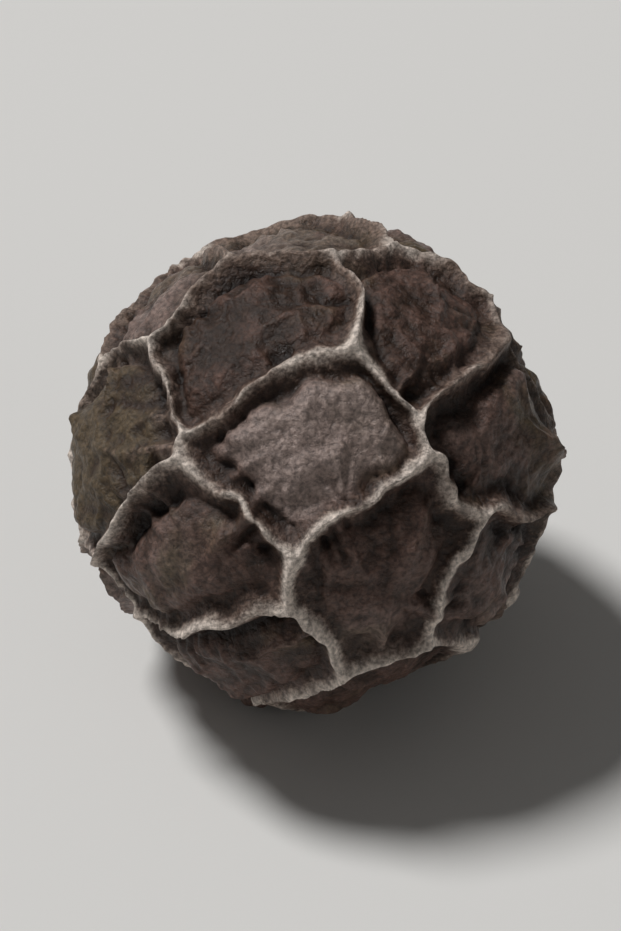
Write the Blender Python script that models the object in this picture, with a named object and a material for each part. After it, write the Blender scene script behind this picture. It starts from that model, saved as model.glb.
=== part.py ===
"""One black peppercorn, the dried fruit, at its real size, lying on the plane z = 0.

It is a ball with a sunken skin. A net of thin folds stands up from the skin, and every mesh of the
net holds a slightly domed floor. The whole surface is one formula: each direction from the middle
of the fruit gets a distance, which is the floor's radius plus what the folds, the floors, the
lumps, the scar of the stalk and the tip opposite add to it. The folds lean over a little, and the
underside is pressed to a small flat spot.
"""

from itertools import combinations
from math import cos, pi, radians, sin, sqrt

import bmesh
import bpy
import numpy as np

MM = 0.001

# Driving sizes
FLOOR_RADIUS = 2.19 * MM
FOLD_HEIGHT = 0.21 * MM
FOLD_HALF_WIDTH = 0.055 * MM
FOLD_SHARPNESS = 1.2
CREST_ROUNDING = 0.014 * MM
GROOVE_DEPTH = 0.04 * MM
GROOVE_AT = 0.155 * MM
GROOVE_HALF_WIDTH = 0.04 * MM
FLOOR_STARTS = 0.08 * MM
FLOOR_FULL = 0.36 * MM
FLOOR_DOME = 0.05 * MM
CORNER_ROUNDING = 0.05 * MM
REST_DEPTH = 2.145 * MM
REST_ROUNDING = 0.03 * MM

# Folds: how unlike their heights are, what the highest may be, and how sharply two of them meet
FOLD_HEIGHTS = (0.45, 1.15)
SEEN_FOLD_HEIGHTS = (0.75, 1.1)
HIGHEST_FOLD = 1.1
BLEND_POWER = 8

# A fold's two sides are unlike, from steep ones with a deep groove at the foot to gentle ones with
# none: the half width and the groove of the first and the last, as shares of those above, between
# which two the draws fall, and how much the way that a side faces counts
SIDE_WIDTHS = (0.7, 1.9)
SIDE_GROOVES = (1.5, 0.0)
SIDE_DRAWS = (0.15, 0.85)
SIDE_TURN = 0.35

# Wrinkles that run out into the floors, as shares of a fold and of the way to the floor's middle
WRINKLE_SHARE = 0.7
WRINKLE_STARTS = (0.25, 0.75)
WRINKLE_HEIGHTS = (0.4, 0.85)
WRINKLE_REACH = (0.4, 1.1)
WRINKLE_WIDTH = 0.8
WRINKLE_SINKS = 0.7
SMOOTH_FLOORS = (0,)

# How much higher or lower one floor is than the next, and how it tilts, as a slope
FLOOR_STEP = 0.05 * MM
FLOOR_TILT = 0.10

# Unevenness of what is named: how much, how long its waves are, and the seed of its draw. The waves
# of one noise are unlike in length by this much.
WAVE_SPREAD = (0.75, 1.35)
WAVERS = ((0.07 * MM, 1.9 * MM, 20), (0.045 * MM, 0.65 * MM, 30), (0.015 * MM, 0.28 * MM, 35))
FOLD_UNEVEN = ((0.15, 1.1 * MM, 40), (0.07, 0.4 * MM, 45))
FOLD_THICKER = (0.28, 0.9 * MM, 38)
FOLD_LEAN = (0.06 * MM, 1.4 * MM, 90)
FOOT_WAVER = (0.03 * MM, 0.5 * MM, 46)
GROOVE_DEEPER = (0.4, 0.8 * MM, 47)
CRUMPLE = (0.022 * MM, 0.6 * MM, 50)
LUMP = (0.06 * MM, 2.6 * MM, 60)

# The round scar that the stalk left, and the dried tip of the flower opposite it
SCAR_RADIUS = 0.46 * MM
SCAR_RIM = 0.10 * MM
SCAR_RIM_HALF_WIDTH = 0.065 * MM
SCAR_PIT = 0.07 * MM
SCAR_PIT_RADIUS = 0.12 * MM
SCAR_CLEARING = (0.8, 1.3)
TIP_HEIGHT = 0.07 * MM
TIP_RADIUS = 0.22 * MM

# The net is laid out as it is seen from this height above the horizon, looking along +Y. Each floor
# of the seen side is given by its middle, in radii to the right and up.
SEEN_FROM = radians(40)
SEEN_FLOORS = (
    (-0.03, 0.05),
    (-0.28, 0.55),
    (0.50, 0.62),
    (0.84, 0.18),
    (0.34, -0.45),
    (-0.50, -0.45),
    (-0.32, -0.74),
    (-0.84, 0.10),
    (0.73, -0.52),
    (0.33, -0.90),
    (-0.66, 0.70),
    (-0.06, 0.98),
)
SEEN_RIM = 0.1
SCAR_SEEN_AT = (-0.93, -0.10)
FLOORS = 32
TRIES = 7
SAME_DISTANCE = 1e-9
SEED = 7

# The mesh: an icosahedron whose edges are cut this often, thinned to this share of its faces where
# the skin is least bent
EDGE_CUTS = 119
KEPT_SHARE = 0.0382

SKIN_COLOUR = (0.075, 0.056, 0.047, 1.0)
SKIN_ROUGHNESS = 0.62


def unit(vectors):
    return vectors / np.linalg.norm(vectors, axis=-1, keepdims=True)


ACROSS = np.array((1.0, 0.0, 0.0))
UPWARD = np.array((0.0, sin(SEEN_FROM), cos(SEEN_FROM)))
TO_EYE = np.array((0.0, -cos(SEEN_FROM), sin(SEEN_FROM)))


def seen_direction(right, up, behind=False):
    """The direction from the middle that is seen at this place, or the one hidden behind it."""
    toward = sqrt(max(0.0, 1.0 - right**2 - up**2)) * (-1 if behind else 1)
    return unit(right * ACROSS + up * UPWARD + toward * TO_EYE)


SCAR = seen_direction(*SCAR_SEEN_AT, behind=True)
GENTLE_SIDE = unit(UPWARD - 0.5 * ACROSS)
UNDERNEATH = np.array((0.0, 0.0, -1.0))


def waves(points, height, length, seed, count=20):
    """Smooth noise: plane sine waves of about this length that run in seeded directions."""
    rng = np.random.default_rng(seed)
    steps = 2 * pi / (length / FLOOR_RADIUS * rng.uniform(*WAVE_SPREAD, (count, 1)))
    runs = unit(rng.normal(size=(count, 3))) * steps
    starts = rng.uniform(0, 2 * pi, count)
    return height * np.sin(points @ runs.T + starts).sum(axis=1) / sqrt(count)


def pushes(points, height, length, seed):
    """A noise along each axis, as one vector for each point."""
    return np.stack([waves(points, height, length, seed + axis) for axis in range(3)], axis=1)


def floor_middles():
    """The seen floors, one at the scar, one underneath, and others where a few tries find most room."""
    rng = np.random.default_rng(SEED)
    middles = [seen_direction(*place) for place in SEEN_FLOORS] + [SCAR, UNDERNEATH]
    while len(middles) < FLOORS:
        tries = unit(rng.normal(size=(TRIES, 3)))
        tries = tries[tries @ TO_EYE < SEEN_RIM]
        nearness = (tries @ np.array(middles).T).max(axis=1)
        middles.append(tries[nearness.argmin()])
    return np.array(middles)


def net_of(middles):
    """The net's junctions and strands: a junction is as far from three middles as from no other."""
    threes = np.array(list(combinations(range(len(middles)), 3)))
    a, b, c = middles[threes].transpose(1, 0, 2)
    poles = unit(np.cross(b - a, c - a))
    junctions, around = [], []
    for pole in (poles, -poles):
        nearest = (pole @ middles.T).max(axis=1)
        found = nearest < (pole * a).sum(axis=1) + SAME_DISTANCE
        junctions.append(pole[found])
        around.append(threes[found])
    junctions = np.vstack(junctions)
    around = np.vstack(around)
    strands = {}
    for junction, three in enumerate(around):
        for pair in combinations(three, 2):
            strands.setdefault(pair, []).append(junction)
    return junctions, strands


def folds_of(middles):
    """Every fold as its two ends, its height, its width and how far it sinks to its second end.

    The strands of the net come first. Then wrinkles leave some strands for the middle of a floor
    that isn't one of the smooth ones.
    """
    junctions, strands = net_of(middles)
    rng = np.random.default_rng(SEED + 1)
    folds = []
    for pair, (first, second) in strands.items():
        heights = SEEN_FOLD_HEIGHTS if max(pair) < len(SEEN_FLOORS) else FOLD_HEIGHTS
        folds.append((junctions[first], junctions[second], rng.uniform(*heights), 1.0, 0.0))
    for pair, (first, second) in strands.items():
        floor = rng.choice(pair)
        if rng.random() < WRINKLE_SHARE and floor not in SMOOTH_FLOORS:
            strand = junctions[second] - junctions[first]
            start = unit(junctions[first] + rng.uniform(*WRINKLE_STARTS) * strand)
            end = unit(start + rng.uniform(*WRINKLE_REACH) * (middles[floor] - start))
            folds.append((start, end, rng.uniform(*WRINKLE_HEIGHTS), WRINKLE_WIDTH, WRINKLE_SINKS))
    return folds


def wavered(directions):
    """The directions pushed about a little, which makes straight strands waver."""
    return unit(directions + sum(pushes(directions, *waver) for waver in WAVERS) / FLOOR_RADIUS)


def mixed(share, first, second):
    return first + share * (second - first)


def ease(value, low, high):
    """0 below low, 1 above high, and a smooth step between."""
    share = np.clip((value - low) / (high - low), 0.0, 1.0)
    return share * share * (3 - 2 * share)


def gentleness(middles, folds):
    """How gentle the side of each fold is that faces each floor, from 0 for a steep one to 1.

    It is a draw, and more the more the side faces GENTLE_SIDE.
    """
    draws = np.random.default_rng(SEED + 3).uniform(*SIDE_DRAWS, (len(folds), len(middles)))
    crests = np.array([start + end for start, end, *_ in folds]) / 2
    facing = unit(middles[None] - crests[:, None]) @ GENTLE_SIDE
    return np.clip(draws + SIDE_TURN * facing, 0, 1)


def folded(directions, places, middles):
    """How high the folds stand at each place, 1 for a whole one, how far its nearest strand is, and
    how deep the groove beside that strand is.

    A fold falls off from its crest as the exponential of a power of the way to it. Where folds meet,
    the highest counts most. The way to a strand is rounded off where two are about as near.
    """
    own = (places @ middles.T).argmax(axis=1)
    folds = folds_of(middles)
    gentle_sides = gentleness(middles, folds)
    thickness = FOLD_HALF_WIDTH * (1 + waves(directions, *FOLD_THICKER))
    stacked = np.zeros(len(places))
    nearness = np.zeros(len(places))
    deep = np.zeros(len(places))
    for (start, end, height, width, sinks), gentle in zip(folds, gentle_sides[:, own]):
        along = np.clip((places - start) @ (end - start) / ((end - start) @ (end - start)), 0, 1)
        foot = unit(start + along[:, None] * (end - start))
        gap = FLOOR_RADIUS * np.linalg.norm(places - foot, axis=1)
        half_width = width * thickness * mixed(gentle, *SIDE_WIDTHS)
        rounded = (np.hypot(gap, CREST_ROUNDING) - CREST_ROUNDING) / half_width
        stacked += (height * (1 - sinks * along) * np.exp(-(rounded**FOLD_SHARPNESS))) ** BLEND_POWER
        if not sinks:
            nearness += np.exp(-gap / CORNER_ROUNDING)
            deep += np.exp(-gap / CORNER_ROUNDING) * mixed(gentle, *SIDE_GROOVES)
    rise = (stacked / (1 + stacked / HIGHEST_FOLD**BLEND_POWER)) ** (1 / BLEND_POWER)
    return rise, -CORNER_ROUNDING * np.log(nearness), deep / nearness


def floor_heights(directions, places, middles, gap):
    """The floors' domes with their steps and tilts, which start beside the folds."""
    own = (places @ middles.T).argmax(axis=1)
    step = np.random.default_rng(SEED + 2).uniform(-FLOOR_STEP, FLOOR_STEP, len(middles))[own]
    tilts = np.random.default_rng(SEED + 4).normal(0, FLOOR_TILT, (len(middles), 3))[own]
    tilt = FLOOR_RADIUS * (tilts * (places - middles[own])).sum(axis=1)
    crumple = waves(directions, *CRUMPLE)
    return ease(gap, FLOOR_STARTS, FLOOR_FULL) * (FLOOR_DOME + step + tilt + crumple)


def skin(directions):
    """The skin's points in these directions from the middle of the fruit.

    Distance from the middle = floor radius + lumps + folds - grooves + floors + the scar's rim -
    its pit + the tip. Then the folds lean over a little, and the underside is pressed flat.
    """
    middles = floor_middles()
    places = wavered(directions)
    rise, gap, deep = folded(directions, places, middles)
    gap += waves(directions, *FOOT_WAVER)
    fold = FOLD_HEIGHT * rise * (1 + sum(waves(directions, *uneven) for uneven in FOLD_UNEVEN))
    groove = GROOVE_DEPTH * np.exp(-(((gap - GROOVE_AT) / GROOVE_HALF_WIDTH) ** 2))
    groove *= deep * (1 + waves(directions, *GROOVE_DEEPER))
    floor = floor_heights(directions, places, middles, gap)

    scar = unit(2 * SCAR - wavered(SCAR[None])[0])
    from_scar = FLOOR_RADIUS * np.linalg.norm(directions - scar, axis=1)
    rim = SCAR_RIM * np.exp(-(((from_scar - SCAR_RADIUS) / SCAR_RIM_HALF_WIDTH) ** 2))
    pit = SCAR_PIT * np.exp(-((from_scar / SCAR_PIT_RADIUS) ** 2))
    off_scar = ease(from_scar / SCAR_RADIUS, *SCAR_CLEARING)
    from_tip = FLOOR_RADIUS * np.linalg.norm(places + SCAR, axis=1)
    tip = TIP_HEIGHT * np.exp(-((from_tip / TIP_RADIUS) ** 2))

    form = waves(directions, *LUMP) + off_scar * (fold - groove + floor) + rim - pit + tip
    points = directions * (FLOOR_RADIUS + form)[:, None]
    lean = pushes(directions, *FOLD_LEAN)
    lean -= (lean * directions).sum(axis=1)[:, None] * directions
    points += (off_scar * rise)[:, None] * lean
    points[:, 2] = pressed_flat(points[:, 2])
    return points


def pressed_flat(heights):
    """Nothing reaches below the resting plane, and the edge of the flat spot is a little rounded."""
    above = heights + REST_DEPTH
    blend = np.maximum(REST_ROUNDING - np.abs(above), 0.0)
    return np.maximum(above, 0.0) + blend**2 / (4 * REST_ROUNDING)


def make_peppercorn():
    mesh = bpy.data.meshes.new("peppercorn")
    ball = bmesh.new()
    bmesh.ops.create_icosphere(ball, subdivisions=1, radius=1.0)
    bmesh.ops.subdivide_edges(ball, edges=ball.edges, cuts=EDGE_CUTS, use_grid_fill=True)
    ball.to_mesh(mesh)
    ball.free()

    corners = np.empty(len(mesh.vertices) * 3)
    mesh.vertices.foreach_get("co", corners)
    points = skin(unit(corners.reshape(-1, 3)))
    mesh.vertices.foreach_set("co", points.ravel())
    mesh.shade_smooth()

    peppercorn = bpy.data.objects.new("peppercorn", mesh)
    thinner = peppercorn.modifiers.new("Fewer faces", "DECIMATE")
    thinner.ratio = KEPT_SHARE
    return peppercorn


def skin_material():
    material = bpy.data.materials.new("peppercorn skin")
    material.use_nodes = True
    shader = material.node_tree.nodes["Principled BSDF"]
    shader.inputs["Base Color"].default_value = SKIN_COLOUR
    shader.inputs["Roughness"].default_value = SKIN_ROUGHNESS
    shader.inputs["Metallic"].default_value = 0.0
    material.diffuse_color = SKIN_COLOUR
    return material


def main():
    for leftover in list(bpy.data.objects):
        bpy.data.objects.remove(leftover)
    collection = bpy.data.collections.new("black peppercorn")
    bpy.context.scene.collection.children.link(collection)
    peppercorn = make_peppercorn()
    peppercorn.data.materials.append(skin_material())
    collection.objects.link(peppercorn)


main()
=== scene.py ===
"""The looks of one black peppercorn: its wrinkled skin as a fine mesh, and the light that shows it.

The skin is the same formula as the solid's, from the same named values: each direction from the
middle of the fruit gets a distance. Here it is worked out on a grid with some eighteen times as many
triangles, and finer wrinkles, pleats and grains are added to it.
"""

from itertools import combinations
from math import cos, pi, radians, sin, sqrt
from typing import NamedTuple

import bpy
import numpy as np
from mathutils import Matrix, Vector


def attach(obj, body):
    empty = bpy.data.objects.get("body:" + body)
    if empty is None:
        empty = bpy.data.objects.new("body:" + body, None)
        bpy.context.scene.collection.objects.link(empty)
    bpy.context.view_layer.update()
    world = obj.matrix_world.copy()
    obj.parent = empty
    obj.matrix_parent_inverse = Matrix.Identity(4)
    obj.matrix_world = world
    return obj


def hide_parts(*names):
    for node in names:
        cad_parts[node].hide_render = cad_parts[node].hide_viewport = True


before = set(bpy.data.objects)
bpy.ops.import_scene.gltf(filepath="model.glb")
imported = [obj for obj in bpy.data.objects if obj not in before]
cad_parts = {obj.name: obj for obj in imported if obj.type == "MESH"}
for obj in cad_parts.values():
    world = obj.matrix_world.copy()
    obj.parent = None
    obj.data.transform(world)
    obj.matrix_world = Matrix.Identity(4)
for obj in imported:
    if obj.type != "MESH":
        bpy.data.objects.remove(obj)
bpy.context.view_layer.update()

MM = 0.001

# Driving sizes: the ball under the folds, a fold and the groove at its foot, how far from a fold a
# floor starts and is whole, how high it domes, how far its corners are rounded, and how far below
# the middle the flat spot is and how far its edge is rounded
FLOOR_RADIUS = 2.19 * MM
FOLD_HEIGHT = 0.21 * MM
FOLD_HALF_WIDTH = 0.055 * MM
FOLD_SHARPNESS = 1.2
CREST_ROUNDING = 0.014 * MM
GROOVE_DEPTH = 0.04 * MM
GROOVE_AT = 0.155 * MM
GROOVE_HALF_WIDTH = 0.04 * MM
FLOOR_STARTS = 0.08 * MM
FLOOR_FULL = 0.36 * MM
FLOOR_DOME = 0.05 * MM
CORNER_ROUNDING = 0.05 * MM
REST_DEPTH = 2.145 * MM
REST_ROUNDING = 0.03 * MM

# Folds, in shares of FOLD_HEIGHT: how high they are drawn, how high on the seen side, and what the
# highest may be. The power is how sharply two of them meet.
FOLD_HEIGHTS = (0.45, 1.15)
SEEN_FOLD_HEIGHTS = (0.75, 1.1)
HIGHEST_FOLD = 1.1
BLEND_POWER = 8

# A fold's two sides are unlike, from steep ones with a deep groove at the foot to gentle ones with
# none: the half width and the groove of the first and the last, as shares of those above, between
# which two the draws fall, how much the way that a side faces counts, and how far to the left of up
# the gentlest ones face, as a slope
SIDE_WIDTHS = (0.7, 1.9)
SIDE_GROOVES = (1.5, 0.0)
SIDE_DRAWS = (0.15, 0.85)
SIDE_TURN = 0.35
GENTLE_LEFT = 0.5

# Wrinkles that run out of the strands into the floors: how many strands have one, where along the
# strand it starts, how high it is and how far it goes, as shares of a fold and of the way to the
# floor's middle, how wide, how much of its height it loses, and which floors have none
WRINKLE_SHARE = 0.7
WRINKLE_STARTS = (0.25, 0.75)
WRINKLE_HEIGHTS = (0.4, 0.85)
WRINKLE_REACH = (0.4, 1.1)
WRINKLE_WIDTH = 0.8
WRINKLE_SINKS = 0.7
SMOOTH_FLOORS = (0,)

# How much higher or lower one floor is than the next, and how it tilts, as a slope
FLOOR_STEP = 0.05 * MM
FLOOR_TILT = 0.10

# Unevenness of what is named: how much, how long its waves are, and the seed of its draw. A noise has
# this many waves, and they are unlike in length by this much.
WAVE_COUNT = 20
WAVE_SPREAD = (0.75, 1.35)
WAVERS = ((0.07 * MM, 1.9 * MM, 20), (0.045 * MM, 0.65 * MM, 30), (0.015 * MM, 0.28 * MM, 35))
FOLD_UNEVEN = ((0.15, 1.1 * MM, 40), (0.07, 0.4 * MM, 45))
FOLD_THICKER = (0.28, 0.9 * MM, 38)
FOLD_LEAN = (0.06 * MM, 1.4 * MM, 90)
FOOT_WAVER = (0.03 * MM, 0.5 * MM, 46)
GROOVE_DEEPER = (0.4, 0.8 * MM, 47)
CRUMPLE = (0.022 * MM, 0.6 * MM, 50)
LUMP = (0.06 * MM, 2.6 * MM, 60)

# The round scar where the fruit sat on its spike, and the dried tip of the flower opposite it
SCAR_RADIUS = 0.46 * MM
SCAR_RIM = 0.10 * MM
SCAR_RIM_HALF_WIDTH = 0.065 * MM
SCAR_PIT = 0.07 * MM
SCAR_PIT_RADIUS = 0.12 * MM
SCAR_CLEARING = (0.8, 1.3)
TIP_HEIGHT = 0.07 * MM
TIP_RADIUS = 0.22 * MM

# The net is laid out as it is seen from this height above the horizon, looking along +Y. Each floor
# of the seen side is given by its middle, in radii to the right and up.
SEEN_FROM = radians(40)
SEEN_FLOORS = (
    (-0.03, 0.05),
    (-0.28, 0.55),
    (0.50, 0.62),
    (0.84, 0.18),
    (0.34, -0.45),
    (-0.50, -0.45),
    (-0.32, -0.74),
    (-0.84, 0.10),
    (0.73, -0.52),
    (0.33, -0.90),
    (-0.66, 0.70),
    (-0.06, 0.98),
)

# The scar is given likewise, but hidden behind. The other floors are drawn where the cosine to the
# eye is less than SEEN_RIM, each as the roomiest of a few tries. Two cosines count as the same when
# they differ by less than SAME_DISTANCE.
SCAR_SEEN_AT = (-0.93, -0.10)
FLOORS = 32
TRIES = 7
SEEN_RIM = 0.1
SAME_DISTANCE = 1e-9
SEED = 7

# What only the fine mesh has: the squares along a face of its grid, and how much and how near a
# crest they draw together
GRID = 128
CREST_PULL = 0.45
CREST_PULL_REACH = 0.1 * MM

# Creases and pebbles begin and are whole this far from a strand
FINE_STARTS = 0.08 * MM
FINE_FULL = 0.26 * MM

# Creases run along the floors in places, and go from none to whole over a range of the noise that
# picks the places
CREASE_HEIGHT = 0.035 * MM
CREASES = (1.5, 0.7 * MM, 70)
CREASED_PLACES = (1.0, 1.3 * MM, 75)
CREASED_RANGE = (-0.9, 0.4)

# Pleats run down the walls of the folds, in places likewise. They are highest this far from the
# strand, and fade where another one is nearly as near. Their noise is read at a place that is moved
# by this much of the floor's own direction, so that a strand's two sides are unlike.
PLEATS = ((0.034 * MM, 0.2 * MM, 62), (0.020 * MM, 0.11 * MM, 64))
PLEATED_PLACES = (1.0, 1.1 * MM, 66)
PLEATED_RANGE = (-0.7, 0.5)
PLEAT_REACH = 0.14 * MM
PLEATS_MEET = 0.2 * MM
PLEAT_SIDES_APART = 0.4

# Beads run along the crests
BEADS = (0.012 * MM, 0.15 * MM, 68)
BEAD_REACH = 0.07 * MM

# Pebbles, pimples and grains. This share of the pimples is left on the folds, and the grains are
# made of more waves.
PEBBLES = (0.018 * MM, 0.42 * MM, 80)
PIMPLES = (0.010 * MM, 0.19 * MM, 82)
FOLD_PIMPLES = 0.3
GRAINS = (0.004 * MM, 0.10 * MM, 85)
GRAIN_WAVES = 32

# How much the pimples count beside the creases and pebbles where the finish reads the fine relief,
# which makes the floors lighter on these bumps and darker between them, as painted light and shade
PIMPLES_READ = 0.4

# The folds' crests are pale this far from their middle, times a share that falls from a gentle side to
# a steep one, and their knots, where three meet, are paler still. The pale is partly rubbed skin and
# partly a painted highlight, and on the knots a painted glint as well.
PALE_LINE_REACH = 0.06 * MM
PALE_LINE_SHARES = (1.25, 0.85)
KNOT_REACH = 0.15 * MM
KNOT_HEIGHT = 0.02 * MM

# The scar's own colour goes from whole to none over these shares of its radius, and the pit takes
# this much of it away
SCAR_COLOURED = (1.0, 1.25)
SCAR_PIT_TAKES = 0.8

# How pale each seen floor is, from about -1 to 1, in their order, and the range of the others. The seen
# values partly paint light and shade: the middle floor is pale as a painted sheen, and the darkest ones
# are dark as painted shade.
SEEN_PALENESS = (1.0, -1.0, -0.7, 0.2, -0.2, 0.0, -1.1, -0.6, -0.1, -0.9, 0.1, 0.5)
UNSEEN_PALENESS = (-0.8, 0.6)

# How much each seen floor leans to olive, from -1 for purple-brown to 1, likewise
SEEN_OLIVE = (0.0, -1.0, -0.6, 0.0, -1.0, 0.0, -1.0, 0.6, 0.0, -1.0, 0.0, 0.5)
UNSEEN_OLIVE = (-1.0, 0.8)

# How pale the folds round each floor are on top, likewise, partly rubbed pale and partly as a painted
# highlight, and over how much they blend, as a cosine
SEEN_WEAR_AND_HIGHLIGHT = (0.8, -0.2, 0.8, -0.6, 1.1, 0.8, 1.0, 0.5, 0.7, 0.3, 0.6, -0.5)
UNSEEN_WEAR_AND_HIGHLIGHT = (-1.2, 0.6)
WEAR_BLEND = 0.05


def unit(vectors):
    """Each vector at a length of 1."""
    return vectors / np.linalg.norm(vectors, axis=-1, keepdims=True)


ACROSS = np.array((1.0, 0.0, 0.0))
UPWARD = np.array((0.0, sin(SEEN_FROM), cos(SEEN_FROM)))
TO_EYE = np.array((0.0, -cos(SEEN_FROM), sin(SEEN_FROM)))


def seen_direction(right, up, behind=False):
    """The direction from the middle that is seen at this place, or the one hidden behind it."""
    toward = sqrt(max(0.0, 1.0 - right**2 - up**2)) * (-1 if behind else 1)
    return unit(right * ACROSS + up * UPWARD + toward * TO_EYE)


SCAR = seen_direction(*SCAR_SEEN_AT, behind=True)
GENTLE_SIDE = unit(UPWARD - GENTLE_LEFT * ACROSS)
UNDERNEATH = np.array((0.0, 0.0, -1.0))


def waves(points, height, length, seed, count=WAVE_COUNT):
    """Smooth noise: plane sine waves of about this length that run in seeded directions."""
    rng = np.random.default_rng(seed)
    steps = 2 * pi / (length / FLOOR_RADIUS * rng.uniform(*WAVE_SPREAD, (count, 1)))
    runs = unit(rng.normal(size=(count, 3))) * steps
    starts = rng.uniform(0, 2 * pi, count)
    return height * np.sin(points @ runs.T + starts).sum(axis=1) / sqrt(count)


def pushes(points, height, length, seed):
    """A noise along each axis, as one vector for each point."""
    return np.stack([waves(points, height, length, seed + axis) for axis in range(3)], axis=1)


def floor_middles():
    """The seen floors, one at the scar, one underneath, and others where a few tries find most room."""
    rng = np.random.default_rng(SEED)
    middles = [seen_direction(*place) for place in SEEN_FLOORS] + [SCAR, UNDERNEATH]
    while len(middles) < FLOORS:
        tries = unit(rng.normal(size=(TRIES, 3)))
        tries = tries[tries @ TO_EYE < SEEN_RIM]
        nearness = (tries @ np.array(middles).T).max(axis=1)
        middles.append(tries[nearness.argmin()])
    return np.array(middles)


def net_of(middles):
    """The net's junctions, and its strands as the two junctions between each pair of floors.

    A junction is equally far from three middles, and further from all the others.
    """
    threes = np.array(list(combinations(range(len(middles)), 3)))
    a, b, c = middles[threes].transpose(1, 0, 2)
    poles = unit(np.cross(b - a, c - a))
    junctions, around = [], []
    for pole in (poles, -poles):
        nearest = (pole @ middles.T).max(axis=1)
        found = nearest < (pole * a).sum(axis=1) + SAME_DISTANCE
        junctions.append(pole[found])
        around.append(threes[found])
    junctions = np.vstack(junctions)
    around = np.vstack(around)
    strands = {}
    for junction, three in enumerate(around):
        for pair in combinations(three, 2):
            strands.setdefault(pair, []).append(junction)
    return junctions, strands


def folds_of(middles):
    """Every fold as its two ends, its height, its width and how far it sinks to its second end.

    The strands of the net come first. Then wrinkles leave some strands for the middle of a floor
    that isn't one of the smooth ones.
    """
    junctions, strands = net_of(middles)
    rng = np.random.default_rng(SEED + 1)
    folds = []
    for pair, (first, second) in strands.items():
        heights = SEEN_FOLD_HEIGHTS if max(pair) < len(SEEN_FLOORS) else FOLD_HEIGHTS
        folds.append((junctions[first], junctions[second], rng.uniform(*heights), 1.0, 0.0))
    for pair, (first, second) in strands.items():
        floor = rng.choice(pair)
        if rng.random() < WRINKLE_SHARE and floor not in SMOOTH_FLOORS:
            strand = junctions[second] - junctions[first]
            start = unit(junctions[first] + rng.uniform(*WRINKLE_STARTS) * strand)
            end = unit(start + rng.uniform(*WRINKLE_REACH) * (middles[floor] - start))
            folds.append((start, end, rng.uniform(*WRINKLE_HEIGHTS), WRINKLE_WIDTH, WRINKLE_SINKS))
    return folds


def wavered(directions):
    """The directions pushed about a little, which makes straight strands waver."""
    return unit(directions + sum(pushes(directions, *waver) for waver in WAVERS) / FLOOR_RADIUS)


def own_floors(places, middles):
    """The number of the floor that each place lies on: the one with the nearest middle."""
    return (places @ middles.T).argmax(axis=1)


def mixed(share, first, second):
    """The first where share is 0 and the second where it is 1."""
    return first + share * (second - first)


def ease(value, low, high):
    """0 below low, 1 above high, and a smooth step between."""
    share = np.clip((value - low) / (high - low), 0.0, 1.0)
    return share * share * (3 - 2 * share)


class Folded(NamedTuple):
    """rise: how high the folds stand, 1 for a whole one. gap: the way to the nearest strand, rounded
    off where two are about as near. deep: how deep the groove there is, as a share. plain_gap: the
    gap, not rounded. spare: how much further the second nearest is. foot: the nearest place on a
    strand."""

    rise: np.ndarray
    gap: np.ndarray
    deep: np.ndarray
    plain_gap: np.ndarray
    spare: np.ndarray
    foot: np.ndarray


def gentleness(middles, folds):
    """How gentle the side of each fold is that faces each floor, from 0 for a steep one to 1.

    It is a draw, and more the more the side faces GENTLE_SIDE.
    """
    draws = np.random.default_rng(SEED + 3).uniform(*SIDE_DRAWS, (len(folds), len(middles)))
    crests = np.array([start + end for start, end, *_ in folds]) / 2
    facing = unit(middles[None] - crests[:, None]) @ GENTLE_SIDE
    return np.clip(draws + SIDE_TURN * facing, 0, 1)


def folded(directions, places, middles, folds):
    """What the folds do at each place: see Folded.

    A fold falls off from its crest as the exponential of a power of the way to it. Where folds meet,
    the highest counts most. The way to a strand is rounded off where two are about as near.
    """
    own = own_floors(places, middles)
    gentle_sides = gentleness(middles, folds)
    thickness = FOLD_HALF_WIDTH * (1 + waves(directions, *FOLD_THICKER))
    stacked = np.zeros(len(places))
    nearness = np.zeros(len(places))
    deep = np.zeros(len(places))
    nearest = np.full(len(places), np.inf)
    second = np.full(len(places), np.inf)
    nearest_foot = places
    for (start, end, height, width, sinks), gentle in zip(folds, gentle_sides[:, own]):
        along = np.clip((places - start) @ (end - start) / ((end - start) @ (end - start)), 0, 1)
        foot = unit(start + along[:, None] * (end - start))
        gap = FLOOR_RADIUS * np.linalg.norm(places - foot, axis=1)
        half_width = width * thickness * mixed(gentle, *SIDE_WIDTHS)
        rounded = (np.hypot(gap, CREST_ROUNDING) - CREST_ROUNDING) / half_width
        stacked += (height * (1 - sinks * along) * np.exp(-(rounded**FOLD_SHARPNESS))) ** BLEND_POWER
        if not sinks:
            nearness += np.exp(-gap / CORNER_ROUNDING)
            deep += np.exp(-gap / CORNER_ROUNDING) * mixed(gentle, *SIDE_GROOVES)
            second = np.minimum(second, np.maximum(gap, nearest))
            nearest_foot = np.where((gap < nearest)[:, None], foot, nearest_foot)
            nearest = np.minimum(nearest, gap)
    rise = (stacked / (1 + stacked / HIGHEST_FOLD**BLEND_POWER)) ** (1 / BLEND_POWER)
    gap = -CORNER_ROUNDING * np.log(nearness)
    return Folded(rise, gap, deep / nearness, nearest, second - nearest, nearest_foot)


def floor_heights(directions, places, middles, gap):
    """The floors' domes with their steps and tilts, which start beside the folds."""
    own = own_floors(places, middles)
    step = np.random.default_rng(SEED + 2).uniform(-FLOOR_STEP, FLOOR_STEP, len(middles))[own]
    tilts = np.random.default_rng(SEED + 4).normal(0, FLOOR_TILT, (len(middles), 3))[own]
    tilt = FLOOR_RADIUS * (tilts * (places - middles[own])).sum(axis=1)
    crumple = waves(directions, *CRUMPLE)
    return ease(gap, FLOOR_STARTS, FLOOR_FULL) * (FLOOR_DOME + step + tilt + crumple)


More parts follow.
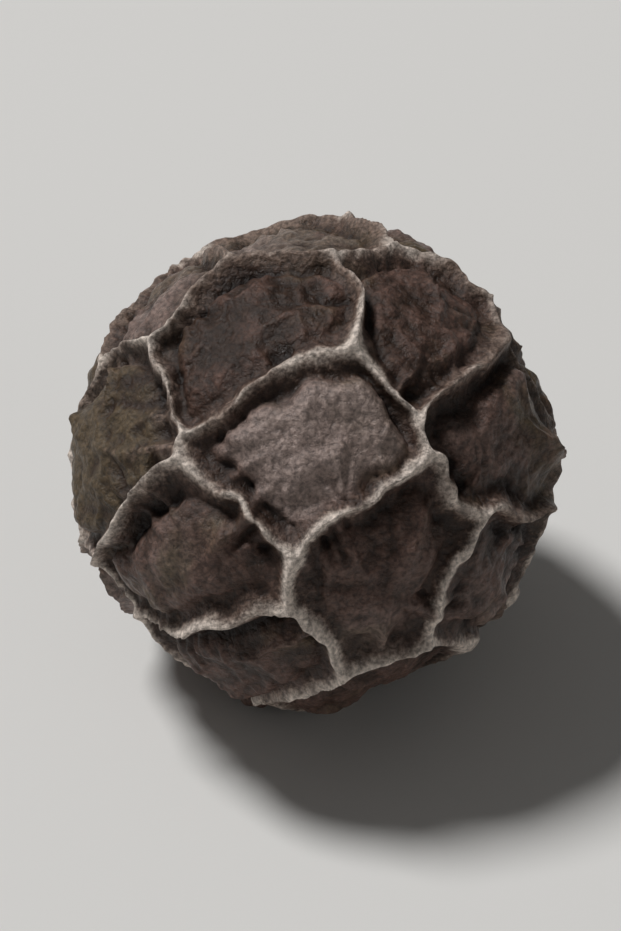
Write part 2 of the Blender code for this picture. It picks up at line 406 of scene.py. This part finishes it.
def pressed_flat(heights):
    """Nothing reaches below the resting plane, and the edge of the flat spot is a little rounded."""
    above = heights + REST_DEPTH
    blend = np.maximum(REST_ROUNDING - np.abs(above), 0.0)
    return np.maximum(above, 0.0) + blend**2 / (4 * REST_ROUNDING)


def drawn_in(directions, middles, folds):
    """The directions moved towards the nearest crest, the most where they are near, so that the
    crests get more of the grid's squares."""
    places = wavered(directions)
    net = folded(directions, places, middles, folds)
    share = CREST_PULL * np.exp(-((net.plain_gap / CREST_PULL_REACH) ** 2))
    return unit(directions + share[:, None] * (net.foot - places))


def fine_relief(directions, places, middles, net):
    """The relief that only the fine mesh has, and its creases, pebbles and pimples by themselves,
    each as a share of its own height.

    Creases are the sharp crests of 1 less the size of a noise, squared. Pebbles and pimples are the
    size of a noise, which is round on top with sharp valleys. Pleats and beads are a noise read at
    the nearest place on a strand, so that they run square to it. A pleat is different on either side
    of its strand, none on the crest, most at its reach, and none where another strand is as near.
    """
    off_folds = ease(net.plain_gap, FINE_STARTS, FINE_FULL)
    crease = np.clip(1 - np.abs(waves(directions, *CREASES)), 0, 1) ** 2
    crease *= off_folds * ease(waves(directions, *CREASED_PLACES), *CREASED_RANGE)
    pebble = np.abs(waves(directions, *PEBBLES)) * off_folds
    pimple = np.abs(waves(directions, *PIMPLES)) * mixed(off_folds, FOLD_PIMPLES, 1)

    beside = net.foot + PLEAT_SIDES_APART * middles[own_floors(places, middles)]
    near = net.plain_gap / PLEAT_REACH
    pleat = sum(waves(beside, *pleats) for pleats in PLEATS) * near * np.exp(1 - near)
    pleat *= ease(waves(beside, *PLEATED_PLACES), *PLEATED_RANGE) * ease(net.spare, 0, PLEATS_MEET)
    bead = waves(net.foot, *BEADS) * np.exp(-((net.plain_gap / BEAD_REACH) ** 2))
    grain = waves(directions, *GRAINS, count=GRAIN_WAVES)
    fine = CREASE_HEIGHT * crease + pebble + pimple + pleat + bead + grain
    return fine, crease + pebble / PEBBLES[0] + PIMPLES_READ * pimple / PIMPLES[0]


def floor_finishes(middles):
    """How pale each floor is, how pale its folds' crests are, partly rubbed and partly as a painted
    highlight, and how olive it is: the seen ones as given, the others drawn.
    """
    rng = np.random.default_rng(SEED + 5)
    unseen = len(middles) - len(SEEN_FLOORS)
    finishes = ((SEEN_PALENESS, UNSEEN_PALENESS), (SEEN_WEAR_AND_HIGHLIGHT, UNSEEN_WEAR_AND_HIGHLIGHT), (SEEN_OLIVE, UNSEEN_OLIVE))
    return [np.concatenate([seen, rng.uniform(*between, unseen)]) for seen, between in finishes]


def skin(directions):
    """The skin's points in these directions, and what its finish reads off them.

    Distance from the middle = floor radius + lumps + folds - grooves + floors + the scar's rim -
    its pit + the tip + the fine relief. Then the folds lean over a little, and the underside is
    pressed flat.
    """
    middles = floor_middles()
    folds = folds_of(middles)
    directions = drawn_in(directions, middles, folds)
    places = wavered(directions)
    net = folded(directions, places, middles, folds)
    gap = net.gap + waves(directions, *FOOT_WAVER)
    uneven = 1 + sum(waves(directions, *noise) for noise in FOLD_UNEVEN)
    fold = FOLD_HEIGHT * net.rise * uneven
    groove = GROOVE_DEPTH * np.exp(-(((gap - GROOVE_AT) / GROOVE_HALF_WIDTH) ** 2))
    groove *= net.deep * (1 + waves(directions, *GROOVE_DEEPER))
    floor = floor_heights(directions, places, middles, gap)

    # The scar lies in the direction that wavers to its own floor's middle
    scar = unit(2 * SCAR - wavered(SCAR[None])[0])
    from_scar = FLOOR_RADIUS * np.linalg.norm(directions - scar, axis=1)
    rim = SCAR_RIM * np.exp(-(((from_scar - SCAR_RADIUS) / SCAR_RIM_HALF_WIDTH) ** 2))
    pit = SCAR_PIT * np.exp(-((from_scar / SCAR_PIT_RADIUS) ** 2))
    off_scar = ease(from_scar / SCAR_RADIUS, *SCAR_CLEARING)
    from_tip = FLOOR_RADIUS * np.linalg.norm(places + SCAR, axis=1)
    tip = TIP_HEIGHT * np.exp(-((from_tip / TIP_RADIUS) ** 2))

    junctions, _ = net_of(middles)
    from_knot = FLOOR_RADIUS * np.sqrt(np.maximum(2 - 2 * (places @ junctions.T).max(axis=1), 0))
    knot = np.exp(-((from_knot / KNOT_REACH) ** 2))
    fine, relief = fine_relief(directions, places, middles, net)
    fine += KNOT_HEIGHT * knot
    raised = off_scar * (fold - groove + floor)
    form = waves(directions, *LUMP) + raised + rim - pit + tip
    points = directions * (FLOOR_RADIUS + form + fine)[:, None]
    lean = pushes(directions, *FOLD_LEAN)
    lean -= (lean * directions).sum(axis=1)[:, None] * directions
    points += (off_scar * net.rise)[:, None] * lean
    points[:, 2] = pressed_flat(points[:, 2])

    paleness, wear_and_highlight, olive = floor_finishes(middles)
    shares = np.exp(places @ middles.T / WEAR_BLEND)
    on_floor = ease(gap, FLOOR_STARTS, FLOOR_FULL)
    reach = PALE_LINE_REACH * mixed(net.deep, *PALE_LINE_SHARES)
    reach *= 1 + waves(directions, *FOLD_THICKER)
    in_scar = 1 - ease(from_scar / SCAR_RADIUS, *SCAR_COLOURED)
    # The finish reads height and relief for painted light on raised places and painted shade low down,
    # paleness partly for a painted sheen and painted shade, and the crests' pale share partly for a
    # painted highlight
    readings = {
        "crest": off_scar * net.rise,
        "line": off_scar * np.exp(-((net.plain_gap / reach) ** 2)),
        "knot": off_scar * knot,
        "height": (raised + fine) / FOLD_HEIGHT,
        "wear_and_highlight": shares @ wear_and_highlight / shares.sum(axis=1),
        "olive": shares @ olive / shares.sum(axis=1),
        "floor": on_floor,
        "paleness": on_floor * paleness[own_floors(places, middles)],
        "relief": relief,
        "scar": in_scar * (1 - SCAR_PIT_TAKES * pit / SCAR_PIT),
    }
    return points, readings


def ball_grid(squares, same_digits=6):
    """The directions and the four-cornered faces of a cube's six square grids blown up to a ball.

    A grid line at share s of a face lies at tan(45 degrees times s), which keeps the squares alike.
    Corners that two faces share, the same to this many digits, are made one.
    """
    line = np.tan(np.linspace(-1, 1, squares + 1) * pi / 4)
    across, up = np.meshgrid(line, line, indexing="ij")
    out = np.ones_like(across)
    sides = []
    for turn in ((0, 1, 2), (1, 2, 0), (2, 0, 1)):
        for way in (1, -1):
            corner = np.stack([across * way, up, out * way], axis=-1)
            sides.append(corner[..., np.argsort(turn)].reshape(-1, 3))
    index = np.arange((squares + 1) ** 2).reshape(squares + 1, squares + 1)
    quads = np.stack([index[:-1, :-1], index[1:, :-1], index[1:, 1:], index[:-1, 1:]], axis=-1)
    quads = quads.reshape(-1, 4)
    faces = np.vstack([quads + side * index.size for side in range(len(sides))])
    points = np.vstack(sides)
    rounded = np.round(points, same_digits)
    _, first, merged = np.unique(rounded, axis=0, return_index=True, return_inverse=True)
    return unit(points[first]), merged.reshape(-1)[faces]


def mesh_from(name, points, faces, readings):
    """A smooth mesh of these points and faces, with each reading as one value for each point."""
    mesh = bpy.data.meshes.new(name)
    mesh.vertices.add(len(points))
    mesh.vertices.foreach_set("co", points.ravel())
    mesh.loops.add(faces.size)
    mesh.loops.foreach_set("vertex_index", faces.ravel())
    mesh.polygons.add(len(faces))
    mesh.polygons.foreach_set("loop_start", np.arange(len(faces)) * faces.shape[1])
    mesh.update(calc_edges=True)
    mesh.shade_smooth()
    for reading, values in readings.items():
        attribute = mesh.attributes.new(reading, "FLOAT", "POINT")
        attribute.data.foreach_set("value", values.astype(np.float32))
    return mesh


class Value:
    """A number that changes over the surface: a node's socket, with Python's own arithmetic."""

    def __init__(self, nodes, socket):
        self.nodes = nodes
        self.socket = socket

    def math(self, operation, *inputs):
        return self.nodes.add("ShaderNodeMath", {"operation": operation}, *inputs)

    def __add__(self, other):
        return self.math("ADD", self, other)

    def __sub__(self, other):
        return self.math("SUBTRACT", self, other)

    def __rsub__(self, other):
        return self.math("SUBTRACT", other, self)

    def __mul__(self, other):
        return self.math("MULTIPLY", self, other)

    __radd__ = __add__
    __rmul__ = __mul__


class Nodes:
    """A material's nodes, added one at a time."""

    def __init__(self, name):
        self.material = bpy.data.materials.new(name)
        self.material.use_nodes = True
        self.tree = self.material.node_tree
        self.shader = self.tree.nodes["Principled BSDF"]

    def add(self, kind, settings, *inputs, out=0, **named):
        """Adds a node of this kind with these settings. Inputs go in by place or by name."""
        node = self.tree.nodes.new(kind)
        for setting, value in settings.items():
            setattr(node, setting, value)
        for place, value in enumerate(inputs):
            self.put(node.inputs[place], value)
        for name, value in named.items():
            self.put(node.inputs[name], value)
        return Value(self, node.outputs[out])

    def put(self, socket, value):
        """Links a value to the socket, or sets a plain number or colour on it."""
        if isinstance(value, Value):
            self.tree.links.new(value.socket, socket)
        else:
            socket.default_value = value

    def reading(self, name):
        """What the mesh says under this name at each of its points."""
        return self.add("ShaderNodeAttribute", {"attribute_name": name}, out="Fac")

    def ramp(self, value, low, high):
        """From 0 at low to 1 at high in a smooth step, and level beyond. Low may be the greater one."""
        return self.add(
            "ShaderNodeMapRange", {"interpolation_type": "SMOOTHSTEP"}, value, low, high, 0.0, 1.0
        )

    def blend(self, share, first, second):
        """The first colour where share is 0 and the second where it is 1."""
        node = self.tree.nodes.new("ShaderNodeMix")
        node.data_type = "RGBA"
        sockets = {socket.identifier: socket for socket in (*node.inputs, *node.outputs)}
        self.put(sockets["Factor_Float"], share)
        self.put(sockets["A_Color"], first)
        self.put(sockets["B_Color"], second)
        return Value(self, sockets["Result_Color"])


def colour(red, green, blue):
    """An opaque colour, in linear light."""
    return (red, green, blue, 1.0)


# The skin's colours, dark to pale
# Black that is painted shade in the hollows at the folds' feet
PAINTED_SHADE_BLACK = colour(0.012, 0.0045, 0.0020)
FLOOR_DARK = colour(0.032, 0.0165, 0.0100)
FLOOR_PURPLE = colour(0.112, 0.063, 0.048)
FLOOR_OLIVE = colour(0.098, 0.068, 0.038)
# Grey for patches on the floors, and on the pale middle floor a painted sheen
FLOOR_GREY_AND_SHEEN = colour(0.335, 0.259, 0.230)
CREST_BROWN = colour(0.195, 0.136, 0.106)
# Pale for the crests, partly rubbed skin and partly a painted highlight
CREST_PALE = colour(0.66, 0.57, 0.50)
SCAR_TAN = colour(0.24, 0.185, 0.14)

# Its patterns: how many waves each noise has to a millimetre, how many finer layers, how much these
# count and how far it is warped
BROAD = (0.5, 5.0, 0.6)
TINGE = (0.8, 4.0, 0.6, 0.3)
WEAR_AND_HIGHLIGHT_PLACES = (0.9, 3.0, 0.6)
MOTTLE = (2.6, 6.0, 0.65)
SPECK = (9.0, 4.0, 0.65)
GRAIN = (26.0, 4.0, 0.7)
CELLS_PER_MM = 15.0

# Each of these comes in, from none to whole, as the sum that steers it goes from the first value to
# the second
OLIVE_RANGE = (0.46, 0.6)
GREY_RANGE = (-0.15, 0.6)
LIGHT_RANGE = (0.36, 0.80)
FLOOR_RANGE = (-0.15, 0.2)
CREST_RANGE = (0.3, 0.95)
WEAR_AND_HIGHLIGHT_RANGE = (-0.4, 1.5)
PALE_RANGE = (0.2, 1.0)
SCAR_RANGE = (0.3, 0.6)
GRAIN_RANGE = (0.36, 0.64)
CELL_RANGE = (0.75, 0.15)
SPECK_RANGE = (0.3, 0.7)

# How pale a crest line is where it is least rubbed and has the least painted highlight, as a share, and
# how dark the darkest flecks are
LEAST_CREST_PALE = 0.3
DARKEST_FLECK = 0.5

# How rough the skin is, how much rougher where it is specked and on the crests, and how much light
# it mirrors
ROUGHNESS = 0.30
SPECK_ROUGHNESS = 0.28
CREST_ROUGHNESS = 0.1
SPECULAR_LEVEL = 0.35

# The pitting that is finer than the mesh, in millimetres from the lowest of each pattern to the top
MOTTLE_HEIGHT = 0.014
SPECK_HEIGHT = 0.022
GRAIN_HEIGHT = 0.018
CELL_DEPTH = 0.012


def swing(noise):
    """How far a noise, which lies between 0 and 1, is from its middle."""
    return noise - 0.5


def skin_material():
    """Mottled purple-brown floors, black hollows at the folds' feet as painted shade, and folds pale on
    top, partly rubbed and partly as a painted highlight.

    All patterns are in millimetres of the piece's own coordinates. Each colour comes in where a sum
    of readings and noises rises through its range, and the sum says how much each of them counts.
    """
    nodes = Nodes("peppercorn skin")
    place = nodes.add("ShaderNodeTexCoord", {}, out="Object")
    mm = nodes.add("ShaderNodeVectorMath", {"operation": "SCALE"}, place, Scale=1 / MM)

    def noise(per_mm, detail, rough, warp=0.0):
        inputs = {"Scale": per_mm, "Detail": detail, "Roughness": rough, "Distortion": warp}
        return nodes.add("ShaderNodeTexNoise", {}, Vector=mm, **inputs)

    crest = nodes.reading("crest")
    height = nodes.reading("height")
    paleness = nodes.reading("paleness")
    mottle = noise(*MOTTLE)
    speck = noise(*SPECK)
    grain = noise(*GRAIN)
    cells = nodes.add("ShaderNodeTexVoronoi", {}, Vector=mm, Scale=CELLS_PER_MM, out="Distance")

    # The floors, light where they are mottled or pale, lighter where raised and on bumps as painted
    # light, grey in patches and on the pale middle floor, there as a painted sheen, and black in the
    # hollows as painted shade
    olive = nodes.ramp(noise(*TINGE) + 0.12 * nodes.reading("olive"), *OLIVE_RANGE)
    grey = nodes.ramp(0.5 * paleness + 1.6 * swing(noise(*BROAD)), *GREY_RANGE)
    light = nodes.blend(grey, nodes.blend(olive, FLOOR_PURPLE, FLOOR_OLIVE), FLOOR_GREY_AND_SHEEN)
    # Height and relief count in this sum as painted light on raised places and painted shade low down
    shade = 0.5 * mottle + 0.3 * speck + 0.2 * nodes.reading("relief") + 0.3 * height + 0.15 * paleness
    floor = nodes.blend(nodes.ramp(shade, *LIGHT_RANGE), FLOOR_DARK, light)
    # Black comes in where the skin is low and off the floors, as painted shade
    raised = height + 0.2 * nodes.reading("floor") + 0.2 * swing(mottle)
    base = nodes.blend(nodes.ramp(raised, *FLOOR_RANGE), PAINTED_SHADE_BLACK, floor)

    # The folds, brown with patchy edges, and pale along the crest, partly rubbed and partly as a
    # painted highlight, most of all on the knots as a painted glint
    patchy = 0.5 * swing(mottle) + 1.1 * swing(speck) + 0.7 * swing(grain)
    base = nodes.blend(nodes.ramp(1.1 * crest + patchy, *CREST_RANGE), base, CREST_BROWN)
    wear_and_highlight_share = nodes.reading("wear_and_highlight") + 2.6 * swing(noise(*WEAR_AND_HIGHLIGHT_PLACES)) + 2.4 * swing(mottle)
    wear_and_highlight_share = nodes.ramp(wear_and_highlight_share + 0.6 * nodes.reading("knot"), *WEAR_AND_HIGHLIGHT_RANGE)
    pale = nodes.reading("line") * (LEAST_CREST_PALE + wear_and_highlight_share) + 0.5 * patchy
    base = nodes.blend(nodes.ramp(pale, *PALE_RANGE), base, CREST_PALE)

    # The scar, and light and dark flecks all over
    base = nodes.blend(nodes.reading("scar") * nodes.ramp(mottle, *SCAR_RANGE), base, SCAR_TAN)
    fleck = 0.6 * nodes.ramp(grain, *GRAIN_RANGE) + 0.4 * nodes.ramp(cells, *CELL_RANGE)
    base = nodes.add("ShaderNodeVectorMath", {"operation": "SCALE"}, base, Scale=DARKEST_FLECK + fleck)
    nodes.put(nodes.shader.inputs["Base Color"], base)

    rough = ROUGHNESS + SPECK_ROUGHNESS * nodes.ramp(speck, *SPECK_RANGE) + CREST_ROUGHNESS * crest
    nodes.put(nodes.shader.inputs["Roughness"], rough)

    pitting = MOTTLE_HEIGHT * mottle + SPECK_HEIGHT * speck + GRAIN_HEIGHT * grain - CELL_DEPTH * cells
    bump = nodes.add("ShaderNodeBump", {}, Strength=1.0, Distance=MM, Height=pitting)
    nodes.put(nodes.shader.inputs["Normal"], bump)
    nodes.put(nodes.shader.inputs["Specular IOR Level"], SPECULAR_LEVEL)
    return nodes.material


def make_peppercorn():
    """The whole skin, as the one piece that stands for the solid."""
    directions, faces = ball_grid(GRID)
    points, readings = skin(directions)
    mesh = mesh_from("peppercorn_skin", points, faces, readings)
    mesh.materials.append(skin_material())
    piece = bpy.data.objects.new("peppercorn_skin", mesh)
    bpy.context.scene.collection.objects.link(piece)
    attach(piece, "root")
    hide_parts("peppercorn")


# The pale ground that it lies on
GROUND_SIZE = 4.0
GROUND_PALE = colour(0.74, 0.73, 0.71)
GROUND_ROUGHNESS = 0.8

# The lights: which way from the fruit's middle, how far away and how wide, in metres, and the power
# in watts. The world's light comes from all round.
MIDDLE = Vector((0.0, 0.0, REST_DEPTH))
KEY_LIGHT = (Vector((-0.42, 0.22, 0.85)), 0.5, 0.12, 2.05)
FILL_LIGHT = (Vector((0.7, -0.6, 0.45)), 0.6, 0.4, 0.1)
WORLD_WHITE = colour(1.0, 0.99, 0.97)
WORLD_STRENGTH = 0.1

# The camera: lens and sensor in millimetres, the frame in pixels, what its width shows at the fruit,
# and how many times nearer and further than the fruit it sees
LENS = 100.0
SENSOR = 36.0
FRAME_WIDE, FRAME_HIGH = 621, 931
SHOWN_WIDTH = 6.0 * MM
CLIP_TIMES = 50


def make_ground():
    """One pale square at height 0."""
    mesh = bpy.data.meshes.new("pale_floor")
    half = GROUND_SIZE / 2
    corners = [(-half, -half, 0), (half, -half, 0), (half, half, 0), (-half, half, 0)]
    mesh.from_pydata(corners, [], [(0, 1, 2, 3)])
    nodes = Nodes("pale floor")
    nodes.put(nodes.shader.inputs["Base Color"], GROUND_PALE)
    nodes.put(nodes.shader.inputs["Roughness"], GROUND_ROUGHNESS)
    mesh.materials.append(nodes.material)
    ground = bpy.data.objects.new("pale_floor", mesh)
    bpy.context.scene.collection.objects.link(ground)


def aim(obj, place, target):
    """Puts a light or camera at a place, turned to a target."""
    obj.location = place
    obj.rotation_euler = (target - place).to_track_quat("-Z", "Y").to_euler()


def make_light(name, toward, away, size, power):
    """A round soft light, turned to the fruit's middle."""
    light = bpy.data.lights.new(name, "AREA")
    light.shape = "DISK"
    light.size = size
    light.energy = power
    lamp = bpy.data.objects.new(name, light)
    bpy.context.scene.collection.objects.link(lamp)
    aim(lamp, MIDDLE + toward.normalized() * away, MIDDLE)


def make_studio():
    """Two soft lights and a faint one from all round, shown without a film's contrast."""
    make_light("key softbox", *KEY_LIGHT)
    make_light("fill softbox", *FILL_LIGHT)
    world = bpy.data.worlds.new("studio")
    world.use_nodes = True
    world.node_tree.nodes["Background"].inputs["Color"].default_value = WORLD_WHITE
    world.node_tree.nodes["Background"].inputs["Strength"].default_value = WORLD_STRENGTH
    bpy.context.scene.world = world
    bpy.context.scene.view_settings.view_transform = "Standard"


def make_camera():
    """Looks down at the angle of the photograph. The frame's width shows SHOWN_WIDTH at the fruit."""
    data = bpy.data.cameras.new("camera")
    data.lens = LENS
    data.sensor_width = SENSOR
    wide_half = SENSOR / 2 * FRAME_WIDE / FRAME_HIGH / LENS
    away = SHOWN_WIDTH / 2 / wide_half
    data.clip_start = away / CLIP_TIMES
    data.clip_end = away * CLIP_TIMES
    camera = bpy.data.objects.new("camera", data)
    bpy.context.scene.collection.objects.link(camera)
    aim(camera, MIDDLE + Vector(TO_EYE) * away, MIDDLE)
    bpy.context.scene.camera = camera


make_peppercorn()
make_ground()
make_studio()
make_camera()

bpy.context.view_layer.update()
